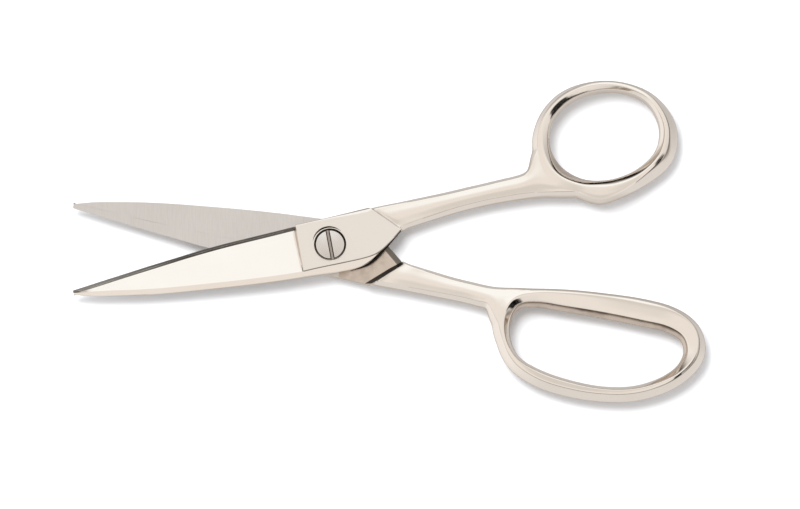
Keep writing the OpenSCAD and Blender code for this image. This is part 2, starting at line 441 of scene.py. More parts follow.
FINGER_BOW = [
    (101.5, 14.3, 5.9, .92, .8, .66, 3.2, 1.7, .86), (100.2, 11, 6.5, .97, .95, .68, 4.3, 1.5, .94),
    (96.2, 9.2, 7.1, 1, 1.1, .71, 5.1, 1.3, .95), (88.5, 8.6, 7.55, 1, 1.2, .71, 5.3, 1.2, .95),
    (78, 8.1, 7.0, 1, 1.2, .71, 5.1, 1.1, .95), (67, 7.9, 6.2, 1, 1.1, .70, 4.3, 1.1, .95),
    (59, 7.9, 5.2, 1, .9, .68, 3.2, 1.1, .95), (54.6, 9.1, 5.6, .98, .6, .70, 2.6, 1.4, .94),
    (52.9, 12.6, 5.7, .95, .4, .64, 2.1, 2.0, .93), (53.6, 18.2, 4.1, .88, .35, .64, 1.5, 1.8, .92),
    (56.8, 22.6, 4.2, .84, .30, .66, 1.2, 1.9, .92), (63, 25.2, 4.7, .82, .30, .66, 1.2, 1.9, .92),
    (72, 26.8, 4.6, .82, .30, .66, 1.2, 1.9, .92), (81, 27.1, 4.2, .82, .30, .66, 1.2, 1.8, .92),
    (89, 25.7, 4.2, .82, .30, .66, 1.3, 1.8, .92), (96, 22.3, 4.4, .84, .35, .66, 1.6, 1.8, .92),
    (100.2, 18.3, 4.8, .88, .5, .66, 2.3, 1.7, .87)]

BOW_SIDES = 11
HOLE_WALL = (6, 7, 8)      # the sides of a ring that make the wall of the hole


def bow_sections(points, steps=3):
    """Rings of eleven points: round the outer bevel, then crest, lip, wall, lip, crest."""
    path = closed_curve(points, steps)
    rings = []
    for i, p in enumerate(path):
        along = (path[(i + 1) % len(path)] - path[i - 1])[:2]
        out = np.array([-along[1], along[0]]) / np.hypot(*along)
        x, y, width, deep, lip, lip_h, crest, bevel, bevel_h = p
        h = min(deep, 1) * HALF_DEPTH
        shape = [(width - bevel, bevel_h), (width - bevel * .3, .42), (width, 0),
                 (width - bevel * .3, -.42), (width - bevel, -bevel_h), (crest, -1),
                 (lip, -lip_h), (0, -.2), (0, .2), (lip, lip_h), (crest, 1)]
        rings.append([(x + out[0] * w, y + out[1] * w, z * h) for w, z in shape])
    return rings


print("bow stations:", len(bow_sections(THUMB_BOW)), len(bow_sections(FINGER_BOW)))

# %% [markdown]
# ## Blade, tang and shank stations
# From the tip to the bow, a forged half is a bar whose section keeps changing: a wedge
# with a ground bevel, a flat tang with one chamfer, and a rounded shank. Lofting through
# sections is how a boat's hull is drawn, and it suits such a bar. A station is a loop of
# twenty points round it. Every station has the same sides, so that they can be joined:
# seven points across the outer face from the spine to the edge, three down the edge side,
# seven back across the inner face and three up the spine side.

# %% Blade stations
def row(a, b, count, za, zb=None, crown=0.0):
    """Evenly spaced points from a to b in plan, with height za to zb and a slight crown."""
    zb = za if zb is None else zb
    out = []
    for k in range(count):
        t = k / (count - 1)
        out.append((a[0] + (b[0] - a[0]) * t, a[1] + (b[1] - a[1]) * t,
                    za + (zb - za) * t + crown * 4 * t * (1 - t)))
    return out


def plate_inner(x):
    """Edge of the cutting plate that lies on the inner face."""
    return at(CUTTING_EDGE, x) - 1.5 - 3.5 * (x - TIP_X) / (PLATE_END - TIP_X)


def bevel_side(x, z):
    """How wide the ground bevel is at x, and where on it the height z is reached."""
    e, top = at(CUTTING_EDGE, x), at(BEVEL_Z, x)
    bevel = min(EDGE_BEVEL, .45 * (e - at(SPINE, x)))
    return bevel, e - bevel * (z - EDGE_LAND) / (top - EDGE_LAND)


def blade_station(x, lift=0.0):
    """Section of the blade, with a recess for the cutting plate before PLATE_END. lift
    raises the outer face towards the height of the tang."""
    e, s, ridge, bz = at(CUTTING_EDGE, x), at(SPINE, x), at(RIDGE_Z, x), at(BEVEL_Z, x)
    bevel, side_y = bevel_side(x, PLATE_THICK)
    back = min(1.4, .35 * (e - s))
    inner = plate_inner(x)
    top = row((x, s + back), (x, e - bevel), 7, ridge, bz)
    if x < PLATE_END:
        side = [(x, e - bevel + (side_y - (e - bevel)) * t, bz + (PLATE_THICK - bz) * t)
                for t in (.25, .5, .75)]
        under = [(x, side_y, PLATE_THICK), (x, inner, PLATE_THICK), (x, inner, 0)]
    else:
        side = [(x, e - bevel + bevel * t, bz + (EDGE_LAND - bz) * t) for t in (.4, .8, 1)]
        under = [(x, e, 0), (x, inner, 0), (x, inner - .1, 0)]
    under += row((x, inner - .25 * (inner - s)), (x, s), 4, 0)
    brow = max(.4 * ridge, ridge - .6 * back)
    up = [(x, s, brow * t) for t in (.2, .6, 1)]
    top = [(px, py, pz + lift * (TANG_THICK - pz)) for px, py, pz in top]
    return top + side + under + up


print("points in a blade station:", len(blade_station(-36)))

# %% [markdown]
# ## Tang and shank stations
# The tang is flat on both faces, because the two halves turn on each other there. Its
# tail is ground away below, which leaves a foot painted black as shade, and the inner face
# stops at a step.
# The shank has nearly flat faces and rounded sides, with a soft crease between them. A
# station lies slantwise between a point on the spine and one on the edge side, so that the
# stations can follow the step and then fan out into the bow.

# %% Tang and shank stations
def ends(low, high):
    """Both ends of a slanting station as arrays, and the direction from low to high."""
    low, high = np.array(low, float), np.array(high, float)
    return low, high, (high - low) / np.linalg.norm(high - low)


def tang_station(low, high, chamfer_low, chamfer_high, relief, foot, reach):
    """Section of the flat tang. relief is how far its tail is ground away below, foot the
    width of the foot this leaves, which is painted black as shade, and reach pulls the
    inner face towards the blade on the edge side."""
    low, high, d = ends(low, high)
    t = TANG_THICK
    line = min(.18, chamfer_low * .2)
    top = [(*(low + d * chamfer_low), t - .15 * line)]
    top += row(low + d * (chamfer_low + line), high - d * chamfer_high, 6, t)
    pulled = high - (reach, 0)
    side = [(*(high - d * .04), t - .25 - .3 * chamfer_high),
            (*(high * .6 + pulled * .4), 1.5), (*pulled, .4)]
    under = row(pulled, low, 7, 0)
    if relief:
        under[5] = (*(low + d * 1.6), 0)
        under[6] = (*low, relief)
    up = [(*low, .4 + relief), (*(low + d * foot), .8 + relief * .8),
          (*(low + d * foot * .9), t - .6 * chamfer_low + foot * .35)]
    return top + side + under + up


def shank_station(low, high, depth, inset_low, inset_high, shoulder=.94, z_in=None,
                  z_out=None):
    """Section of the shank: nearly flat faces, a crease line and a rounded side."""
    low, high, d = ends(low, high)
    zo = depth * shoulder if z_out is None else z_out
    zi = -depth * shoulder if z_in is None else z_in
    crown = depth * (1 - shoulder)
    a, b = low + d * inset_low, high - d * inset_high
    top = row(a, b, 7, zo, crown=crown)
    side = [(*(high - d * .28), .5 * zo), (*high, (zo + zi) / 2), (*(high - d * .28), .5 * zi)]
    under = row(b, a, 7, zi, crown=-crown)
    up = [(*(low + d * .28), .5 * zi), (*low, (zo + zi) / 2), (*(low + d * .28), .5 * zo)]
    return top + side + under + up


print("points in a shank station:", len(shank_station((0, 0), (0, 8), 3, 1, 1)))

# %% [markdown]
# ## The cage
# Smoothing alone would round every corner, and forged shears have both crisp ground
# lines and soft polished ones. Extra loops close to each corner would keep it sharp, at
# the cost of many more points. A crease does it with a number on the edge: 1 is a hard
# ground corner, about half is a polished edge. The cage also remembers the finish of each
# face, because a finish ends at the same lines where the shape turns.

# %% Cage
class Cage:
    """Points, faces, creases and finishes of a coarse skin."""

    def __init__(self):
        self.points = []
        self.faces = []
        self.finish = []
        self.creases = {}

    def loop(self, points):
        first = len(self.points)
        self.points += [tuple(p) for p in points]
        return list(range(first, len(self.points)))

    def face(self, corners, finish=NICKEL):
        self.faces.append(corners)
        self.finish.append(finish)

    def crease(self, a, b, amount):
        self.creases[(min(a, b), max(a, b))] = amount

    def join(self, a, b, finishes):
        """Quads between two loops, with a finish for each side of the loops."""
        for k in range(len(a)):
            m = (k + 1) % len(a)
            self.face([a[k], a[m], b[m], b[k]], finishes[k])


# Sides of a station: side k runs from point k to point k + 1.
LOOP = 20
TOP, SIDE, UNDER, UP = range(0, 6), range(6, 10), range(10, 16), range(16, 20)


def finishes(top=NICKEL, side=NICKEL, under=NICKEL, up=NICKEL):
    out = [NICKEL] * LOOP
    for sides, finish in ((TOP, top), (SIDE, side), (UNDER, under), (UP, up)):
        for k in sides:
            out[k] = finish
    return out


print("sides that are lapped on the blade:", finishes(under=LAPPED).count(LAPPED))

# %% [markdown]
# ## From the tip to the shank
# A forged half reads as four parts: the blade, the tang, the step where the tang ends and
# the shank. Their stations stand close together where the shape turns, as at the end of
# the recess and at the heel, and far apart where it runs straight. Each part has its own
# lengthwise creases, given by the number of the point that they run through.

# %% Stations of one half
Station = namedtuple("Station", "loop lines part across")

TANG = [
    # spine side, edge side, chamfer on each, relief, foot, reach
    ((-8.5, -7.4), (-8.5, 7.35), 1.42, .45, 0, 0, 0),
    ((-8.1, -7.42), (-8.1, 7.36), 1.46, .45, 0, 0, 0),
    ((-4, -7.48), (-4, 7.6), 1.75, .45, 0, 0, 0),
    ((0, -7.6), (0, 7.8), 2.0, .5, 0, 0, 0),
    ((4.5, -7.55), (3.5, 8.02), 2.1, .65, 0, 0, 0),
    ((8.3, -7.25), (6.5, 8.22), 2.0, .85, .2, .25, 0),
    ((10.9, -6.45), (8.6, 8.38), 1.5, 1.0, .6, .55, .15),
    ((13.0, -5.1), (10.1, 8.48), .8, 1.05, .95, .6, .5),
    ((15.5, -3.1), (11.2, 8.55), .35, 1.1, 1.05, .45, .85),
    ((18.4, -.7), (11.9, 8.6), .15, 1.1, 1.05, .3, 1.1),
    ((20.2, .85), (12.4, 8.64), .1, 1.1, 1.05, .2, 1.3)]


def blade_stations(cage):
    """From the tip to the heel, where the outer face climbs to the tang."""
    thin = {0: 1, 6: 1, 10: 1, 11: 1, 12: 1, 16: 1, 19: .6}
    full = {0: 1, 6: 1, 9: 1, 10: 1, 16: 1, 19: .6}
    out = []
    for x in (TIP_X, -70, -66.5, -62, -55, -46, -37, -28, -20, -14, PLATE_END - .14):
        across = {TIP_X: "all", PLATE_END - .14: "recess"}.get(x)
        out.append(Station(cage.loop(blade_station(x)), thin, "blade", across))
    for x, lift in ((PLATE_END + .10, 0), (-10.3, 0), (-9.6, 0), (-9.2, .06), (-8.85, .28)):
        across = {PLATE_END + .10: "recess"}.get(x)
        out.append(Station(cage.loop(blade_station(x, lift)), full, "blade", across))
    return out


def tang_stations(cage):
    out = []
    for low, high, chamfer_low, chamfer_high, relief, foot, reach in TANG:
        points = tang_station(low, high, chamfer_low, chamfer_high, relief, foot, reach)
        lines = {0: .54, 6: .54, 10: 1, 16: 1, 19: .5}
        if relief:
            lines[15] = .9
        out.append(Station(cage.loop(points), lines, "tang", None))
    for k, across in ((0, "top"), (1, "top"), (-1, "end")):
        out[k] = out[k]._replace(across=across)
    return out


def shank_stations(cage, shank):
    """The step, whose inner line leans over the tang, and then the shank."""
    lines = {0: .5, 6: .5, 10: .5, 16: .5}
    first = shank_station((20.75, 1.0), (12.9, 8.7), 3.4, .9, 1.1, 1.0, -3.05, 3.22)
    first[10:17] = [(x + .8 - 1.3 * (16 - k) / 6, y + .8, z)
                    for k, (x, y, z) in enumerate(first[10:17], 10)]
    out = [Station(cage.loop(first), lines, "step", "step")]
    out += [Station(cage.loop(shank_station(*sizes)), lines, "shank", None) for sizes in shank]
    return out


print("stations up to the step:", len(blade_stations(Cage())) + len(TANG))

# %% [markdown]
# ## Joining the stations
# A maker grinds each face in turn, and the finish changes at the corner between two of
# them. So the faces between two stations get their finish by side: satin on top of the
# tang, lapped below, a ground bevel on the edge, and black painted shade in the step and
# on the foot of the tang's tail, whose underside is brown with painted shade. The creases
# across the bar mark where such a face ends: at the tip, the recess, the heel and the step.

# %% Joining the stations
ACROSS = {"all": (range(LOOP), 1), "recess": (range(9, 13), 1), "top": (range(0, 9), 1),
          "end": ((*range(0, 9), *range(10, 16)), 1), "step": (range(0, 6), .6)}


def side_finishes(part, tail):
    """Finishes of the sides that lead to a station of this part. tail is the ground tail
    of the tang."""
    if part == "blade":
        return finishes(side=BEVEL, under=LAPPED)
    # painted shade: the step is black
    if part == "step":
        return finishes(under=GAP_SHADE)
    if part == "shank":
        return finishes()
    # the tail's underside is brown with painted shade, and its foot is painted black as shade
    out = finishes(top=SATIN, under=BROWN_RIM_SHADE if tail else LAPPED)
    out[0] = BEVEL
    if tail:
        out[15] = BEVEL
        out[16] = out[17] = GAP_SHADE
    return out


def join_stations(cage, stations):
    for a, b in zip(stations, stations[1:]):
        tail = a.part == "tang" and 15 in b.lines
        cage.join(a.loop, b.loop, side_finishes(b.part, tail))
        for k in a.lines:
            if k in b.lines:
                cage.crease(a.loop[k], b.loop[k], min(a.lines[k], b.lines[k]))
    for loop, _, _, across in stations:
        sides, amount = ACROSS.get(across, ((), 0))
        for k in sides:
            cage.crease(loop[k], loop[(k + 1) % LOOP], amount)
    cage.face(list(reversed(stations[0].loop)))


print("finishes on the tang:", sorted({m.name for m in side_finishes("tang", True)}))

# %% [markdown]
# ## The bow and where it grows out of the shank
# The shank and the bow are one piece of metal, with no line between them. A boolean union
# would leave one. Here the ring is left open on its outside for a few stations, and the
# gap has as many corners as a station of the shank, so the two are joined like any pair
# of stations, with one more loop between them to soften the turn.

# %% Bow and its root
BOW_CREASES = {10: .42, 5: .42, 6: .4, 9: .4, 0: .5, 4: .5}


def bow_skin(cage, points, first, last, shaded_walls, wall_shade_finish):
    """Ring of the bow, open outside between stations first and last. The hole wall takes the
    given brown finish with painted shade at the stations listed for it, and satin elsewhere."""
    rings = [cage.loop(ring) for ring in bow_sections(points)]
    for i, a in enumerate(rings):
        b = rings[(i + 1) % len(rings)]
        is_open = first <= i < last
        for k in range(BOW_SIDES):
            if is_open and k < 4:
                continue
            m = (k + 1) % BOW_SIDES
            finish = NICKEL
            if k in HOLE_WALL:
                finish = wall_shade_finish if i in shaded_walls else SATIN
            cage.face([a[k], b[k], b[m], a[m]], finish)
        for k, amount in BOW_CREASES.items():
            if not (is_open and k in (0, 4)):
                cage.crease(a[k], b[k], amount)
    return rings


def join_bow(cage, end, rings, first, last):
    """Joins the shank's last loop to the twenty corners of the gap in the bow."""
    root = [rings[i][0] for i in range(first, last + 1)]
    root += [rings[last][k] for k in (1, 2, 3)]
    root += [rings[i][4] for i in range(last, first - 1, -1)]
    root += [rings[first][k] for k in (3, 2, 1)]
    a = np.array([cage.points[i] for i in end])
    b = np.array([cage.points[i] for i in root])
    middle = cage.loop(a * .45 + b * .55)
    for p, q in ((end, middle), (middle, root)):
        cage.join(p, q, finishes())
        for k in (0, 6, 10, 16):
            cage.crease(p[k], q[k], .45)


def half_cage(bow_points, shank, first, last, shaded_walls, wall_shade_finish):
    cage = Cage()
    stations = blade_stations(cage) + tang_stations(cage) + shank_stations(cage, shank)
    join_stations(cage, stations)
    rings = bow_skin(cage, bow_points, first, last, shaded_walls, wall_shade_finish)
    join_bow(cage, stations[-1].loop, rings, first, last)
    return cage


SHANK_START = [
    # spine side, edge side, half depth, and how far in the crease lines are from each side
    ((21.9, 1.3), (13.8, 8.75), 3.4, 1.0, 1.1),
    ((24.2, 1.7), (17.0, 8.9), 3.42, 1.1, 1.1),
    ((27.6, 2.2), (22.2, 9.05), 3.42, 1.1, 1.1),
    ((31.6, 2.75), (28.2, 9.3), 3.45, 1.1, 1.1),
    ((35.8, 3.3), (34.2, 9.55), 3.55, 1.1, 1.1),
    ((40.4, 3.7), (40.0, 9.9), 3.7, 1.1, 1.1)]
THUMB_SHANK = SHANK_START + [
    ((45.5, 3.97), (45.5, 10.2), 3.85, 1.1, 1.1),
    ((50.5, 4.0), (50.5, 10.5), 4.1, 1.1, 1.1),
    ((55.5, 3.9), (55, 10.8), 4.4, 1.1, 1.1),
    ((60.5, 3.5), (57.7, 11.85), 4.6, 1.0, .9)]
FINGER_SHANK = SHANK_START + [
    ((44, 4.0), (43.6, 10.3), 3.95, 1.1, 1.1),
    ((48, 4.05), (45.4, 10.7), 4.2, 1.1, 1.2)]

# painted shade on the hole walls: brown on the lower left of the thumb bow, and brown and darker
# towards the rims all round the finger bow
thumb_cage = half_cage(THUMB_BOW, THUMB_SHANK, 15, 21, range(3, 22), BROWN_SHADE)
finger_cage = half_cage(FINGER_BOW, FINGER_SHANK, 19, 25, range(51), BROWN_RIM_SHADE)
print("cage faces:", len(thumb_cage.faces), len(finger_cage.faces))

# %% [markdown]
# ## Meshes and objects
# A finished piece is an object at the origin whose mesh holds its place, which keeps its
# patterns still when it moves. A mesh could be made with Blender's add menu calls and then
# edited. Lists of points and faces say the same more plainly, and one helper turns them
# into a mesh with a material on every face. Another bakes modifiers into a plain mesh.

# %% Meshes and objects
CORNER_ANGLE = 32      # a turn between faces sharper than this stays a visible corner


def mesh_from(name, points, faces, marks, materials):
    """Mesh from points in millimetres. marks has the material of each face, and materials
    their order in the slots."""
    mesh = bpy.data.meshes.new(name)
    mesh.from_pydata([Vector(p) * MM for p in points], [], faces)
    for m in materials:
        mesh.materials.append(m)
    mesh.polygons.foreach_set("material_index", [materials.index(m) for m in marks])
    mesh.update()
    return mesh


def new_object(name, mesh):
    ob = bpy.data.objects.new(name, mesh)
    bpy.context.scene.collection.objects.link(ob)
    return ob


def baked(ob):
    """Replaces the object's mesh with what its modifiers make of it."""
    graph = bpy.context.evaluated_depsgraph_get()
    made = bpy.data.meshes.new_from_object(ob.evaluated_get(graph), depsgraph=graph)
    old = ob.data
    ob.modifiers.clear()
    ob.data = made
    bpy.data.meshes.remove(old)
    return ob


def outwards(ob):
    """Turns the faces outwards and sets smooth shading with crisp corners kept."""
    bm = bmesh.new()
    bm.from_mesh(ob.data)
    bmesh.ops.recalc_face_normals(bm, faces=bm.faces)
    if bm.calc_volume(signed=True) < 0:
        bmesh.ops.reverse_faces(bm, faces=bm.faces)
    bm.to_mesh(ob.data)
    bm.free()
    ob.data.shade_smooth()
    ob.data.set_sharp_from_angle(angle=math.radians(CORNER_ANGLE))
    return ob


# %% [markdown]
# ## Smoothing a cage so that it passes through its own points
# Subdivision smoothing pulls a surface in from its cage, so a forging drawn to size would
# come out thin. Drawing the cage too large by guesswork is slow. Moving the cage points
# out by what was lost, a few times over, gives a smooth skin that runs through the
# intended points.

# %% Cage to skin
FIT_LEVELS = 2         # smoothing levels while the points are fitted
SKIN_LEVELS = 3        # smoothing levels of the finished skin


def skin(name, cage, rounds=7):
    """Smooth skin through the cage's points."""
    mesh = mesh_from(name, cage.points, cage.faces, cage.finish,
                     (NICKEL, SATIN, LAPPED, BEVEL, BROWN_RIM_SHADE, GAP_SHADE, BROWN_SHADE))
    layer = mesh.attributes.new("crease_edge", "FLOAT", "EDGE")
    for e in mesh.edges:
        layer.data[e.index].value = cage.creases.get(tuple(sorted(e.vertices)), 0.0)
    ob = new_object(name, mesh)
    smooth = ob.modifiers.new("smooth", "SUBSURF")
    smooth.levels = smooth.render_levels = FIT_LEVELS
    target = np.array(cage.points) * MM
    points = target.copy()
    for _ in range(rounds):
        bpy.context.view_layer.update()
        graph = bpy.context.evaluated_depsgraph_get()
        done = ob.evaluated_get(graph).data
        now = np.empty(len(done.vertices) * 3)
        done.vertices.foreach_get("co", now)
        gap = target - now.reshape(-1, 3)[:len(target)]
        points += gap
        mesh.vertices.foreach_set("co", points.ravel())
        mesh.update()
    print(name, "largest miss after fitting", round(float(np.abs(gap).max()) / MM, 3), "mm")
    smooth.levels = smooth.render_levels = SKIN_LEVELS
    bpy.context.view_layer.update()
    return baked(ob)


front_half = outwards(skin("front_forging", thumb_cage))
rear_half = outwards(skin("rear_forging", finger_cage))

# %% [markdown]
# ## Cutting tools
# Holes and seats are machined into the finished forging, and they are made the same way
# here: a cutter shaped like the metal to be taken out, and a boolean. Modelling the hole
# into the cage would pull on the flat face round it. The boolean hands the cutter's
# materials to the new faces, so the walls of a bore come out painted black as shade and
# its floor in the finish that is asked for, black painted shade unless another is given.

# %% Cutters
ROUND = 96             # sides of everything round


def circle(radius, z, sides=ROUND):
    turns = [2 * math.pi * k / sides for k in range(sides)]
    return [(radius * math.cos(a), radius * math.sin(a), z) for a in turns]


def cylinder_tool(radius, low, high, flare=0.0, floor=GAP_SHADE):
    """A cutter on the pivot axis, wider by flare at its top. floor is the finish of the
    bottom it leaves."""
    points = circle(radius, low) + circle(radius + flare, high)
    faces = [[k, (k + 1) % ROUND, ROUND + (k + 1) % ROUND, ROUND + k] for k in range(ROUND)]
    faces += [list(range(ROUND - 1, -1, -1)), list(range(ROUND, 2 * ROUND))]
    # painted shade: the walls are black, and so is the floor unless another finish is given
    marks = [GAP_SHADE] * ROUND + [floor, GAP_SHADE]
    return new_object("tool", mesh_from("tool", points, faces, marks, (GAP_SHADE, SATIN)))


def cut_with(ob, tool):
    """Takes one object out of another and throws the tool away."""
    cut = ob.modifiers.new("cut", "BOOLEAN")
    cut.object = tool
    cut.operation = "DIFFERENCE"
    cut.solver = "EXACT"
    cut.material_mode = "TRANSFER"
    bpy.context.view_layer.update()
    baked(ob)
    mesh = tool.data
    bpy.data.objects.remove(tool)
    bpy.data.meshes.remove(mesh)
    print(ob.name, "has", len(ob.data.polygons), "faces after the cut")


# %% [markdown]
# ## Handing a piece over
# A piece of shears belongs to one of the two halves that turn on each other: the screw
# and nut are locked to the rear one. Parenting objects by hand would work for one pose,
# but it would not say which CAD piece each one stands for. The last step of each piece
# moves its mesh into place, hands it to the body that carries it and hides the CAD piece
# it replaces.

# %% Handing over a piece
def settle(ob, place, body, slot, *nodes):
    """Moves the mesh into the shears' frame and hands the piece to its body."""
    ob.data.transform(place)
    ob.data.update()
    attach(ob, body)
    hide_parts(*nodes)
    print(ob.name, len(ob.data.polygons), "faces on", body)
    return ob


# %% [markdown]
# ## The front half
# The front forging has the thumb bow. The screw's head sits in it: first a shallow face
# is cut slightly out of true, so that its edge shows on one side only, as a worn cutter
# leaves it. Then comes the hole that turns on the screw, and a seat that is a little
# larger than the head and a little off centre, which leaves a gap of uneven width. The
# walls of all three cuts, and the floors of the hole and the seat, are painted black as shade.

# %% Front half
FRONT_HOLE = 2.55      # radius of the hole that turns on the screw
SEAT_RADIUS = 4.46
SEAT_SHIFT = (.04, .24)


def spot_face(ob):
    tool = cylinder_tool(4.93, 0, 1, flare=2.1, floor=SATIN)
    tool.data.transform(Matrix.Translation((0, 0, (TANG_THICK + .19) * MM))
                        @ Matrix.Rotation(math.radians(100), 4, "Z")
                        @ Matrix.Rotation(math.radians(4.2), 4, "Y"))
    cut_with(ob, tool)


spot_face(front_half)
cut_with(front_half, cylinder_tool(FRONT_HOLE, -1, TANG_THICK + 1))
seat = cylinder_tool(SEAT_RADIUS, TANG_THICK - .5, TANG_THICK + 1)
seat.data.transform(Matrix.Translation((SEAT_SHIFT[0] * MM, SEAT_SHIFT[1] * MM, 0)))
cut_with(front_half, seat)
settle(outwards(front_half), place_front(), "front_half", "nickel_plate", "front_frame")

# %% [markdown]
# ## The rear half
# The rear forging has the long finger bow. It is the same skin turned over, so its outer
# face looks down. Its hole grips the screw, and a shallow round seat in the outer face
# takes the washer. Both are plain cylinders, so the same cutter makes them.

# %% Rear half
REAR_HOLE = 2.42       # radius of the hole that grips the screw
WASHER_SEAT = 5.1

cut_with(rear_half, cylinder_tool(REAR_HOLE, -1, TANG_THICK + 1))
cut_with(rear_half, cylinder_tool(WASHER_SEAT, TANG_THICK - .3, TANG_THICK + 1))
settle(outwards(rear_half), place_rear(), "rear_half", "nickel_plate", "rear_frame")

# %% [markdown]
# ## Cutting plates
# Good shears have a strip of hard steel laid into the softer forging along the cutting
# edge, flush with the lapped face, and its outer corner is part of the ground bevel. It
# could be a painted stripe, but then nothing would be there when the blade is seen edge
# on. It is a five sided bar, lofted through sections that follow the same tables as the
# recess, with a hair of slack all round so that the two never touch.

# %% Cutting plates
PLATE_SLACK = 0.015
PLATE_SECTIONS = 61


def cutting_plate(name):
    points, faces, marks = [], [], []
    t = PLATE_THICK - PLATE_SLACK
    for x in np.linspace(TIP_X + .01, PLATE_END - PLATE_SLACK, PLATE_SECTIONS):
        e, inner = at(CUTTING_EDGE, x), plate_inner(x) + PLATE_SLACK
        points += [(x, inner, 0), (x, e, 0), (x, e, EDGE_LAND), (x, bevel_side(x, t)[1], t),
                   (x, inner, t)]
    for i in range(0, 5 * (PLATE_SECTIONS - 1), 5):
        for k in range(5):
            m = (k + 1) % 5
            faces.append([i + k, i + m, i + 5 + m, i + 5 + k])
            marks.append(BEVEL if k in (1, 2) else LAPPED)
    faces += [[4, 3, 2, 1, 0], [len(points) - 5 + k for k in range(5)]]
    marks += [LAPPED, LAPPED]
    return outwards(new_object(name, mesh_from(name, points, faces, marks, (LAPPED, BEVEL))))


settle(cutting_plate("front_cutting_plate"), place_front(), "front_half", "ground_steel",
       "front_plate")
settle(cutting_plate("rear_cutting_plate"), place_rear(), "rear_half", "ground_steel",
       "rear_plate")

# %% [markdown]
# ## Pivot screw
# The halves turn on the plain shoulder of one slotted screw. A lathe makes such a piece
# from its profile, and so does this helper: it turns a line of (radius, height) corners
# about the pivot axis. Stacked cylinders would leave hidden faces inside, and a bevel
# modifier would round every corner alike, where the head has a chamfer of its own. Each
# corner also names the material of the side that starts there.

# %% Screw
def turned(name, profile, materials):
    points, faces, marks, rings = [], [], [], []
    for r, z, _ in profile:
        ring = circle(r, z) if r else [(0, 0, z)]
        rings.append(range(len(points), len(points) + len(ring)))
        points += ring
    for a, b, (_, _, mark) in zip(rings, rings[1:], profile):
        for k in range(ROUND):
            m = (k + 1) % ROUND
            corners = [a[k % len(a)], a[m % len(a)], b[m % len(b)], b[k % len(b)]]
            faces.append([c for c, before in zip(corners, corners[-1:] + corners[:-1])
                          if c != before])
            marks.append(mark)
    return new_object(name, mesh_from(name, points, faces, marks, materials))


HEAD_Z = TANG_THICK - .3 + RIDE_GAP / 2     # under the head, .3 mm below the tang's face
HEAD_TOP = HEAD_Z + 1.5
SCREW_END = -SHEAR_Z                        # the flat end stands on the table
screw = turned("pivot_screw_body", [
    (0, SCREW_END, TURNED), (1.9, SCREW_END, TURNED), (2.1, SCREW_END + .2, TURNED),
    (2.1, SCREW_END + 1.75, TURNED), (2.4, SCREW_END + 1.9, TURNED), (2.4, -.03, TURNED),
    # painted shade: the underside of the head, the top of its side and its chamfer are black, where
    # they stand in the gap of the seat
    (2.5, -.03, TURNED), (2.5, HEAD_Z, GAP_SHADE), (4.12, HEAD_Z, TURNED),
    (4.12, HEAD_TOP - .45, GAP_SHADE), (4.06, HEAD_TOP - .18, GAP_SHADE), (3.9, HEAD_TOP - .03, TURNED),
    (3.84, HEAD_TOP, TURNED), (0, HEAD_TOP, TURNED)], (TURNED, GAP_SHADE))
outwards(screw)
print("screw from", SCREW_END, "to", round(HEAD_TOP, 2), "mm about the shear plane")

# %% [markdown]
# ## The slot
# The slot is milled across the head after turning, and it is a little wider at the top,
# where the screwdriver has worn it. The cutter is a box with leaning sides, turned by the
# angle at which the screw came to rest. Its floor is brown and its two walls are painted
# black as shade.

# %% Slot
SLOT_TURN = 10         # turn of the slot, degrees
SLOT_FLOOR = .30       # half widths
SLOT_MOUTH = .66


def slot_tool():
    length, low, high = 6, HEAD_TOP - .75, HEAD_TOP + .25
    turn = Matrix.Rotation(math.radians(SLOT_TURN), 3, "Z")
    corners = [turn @ Vector((x, y, z)) for z, w in ((low, SLOT_FLOOR), (high, SLOT_MOUTH))
               for x, y in ((-w, -length), (w, -length), (w, length), (-w, length))]
    faces = [[3, 2, 1, 0], [4, 5, 6, 7], [0, 1, 5, 4], [1, 2, 6, 5], [2, 3, 7, 6], [3, 0, 4, 7]]
    # painted shade: the two long walls are black
    marks = [SLOT, TURNED, TURNED, GAP_SHADE, TURNED, GAP_SHADE]
    return new_object("tool", mesh_from("tool", corners, faces, marks, (TURNED, SLOT, GAP_SHADE)))


cut_with(screw, slot_tool())
settle(outwards(screw), Matrix.Translation((0, 0, SHEAR_Z * MM)), "rear_half", "screw_steel",
       "pivot_screw")

# %% [markdown]
# ## The thread
# The nut holds on a thread at the screw's end. A bump pattern would leave its outline
# smooth, and drawing each turn by hand would fix its pitch for good. A thread follows
# a rule, so Geometry Nodes sweep a small three cornered profile along a helix. Radius,
# pitch, number of turns and depth of the thread are inputs of the node group.

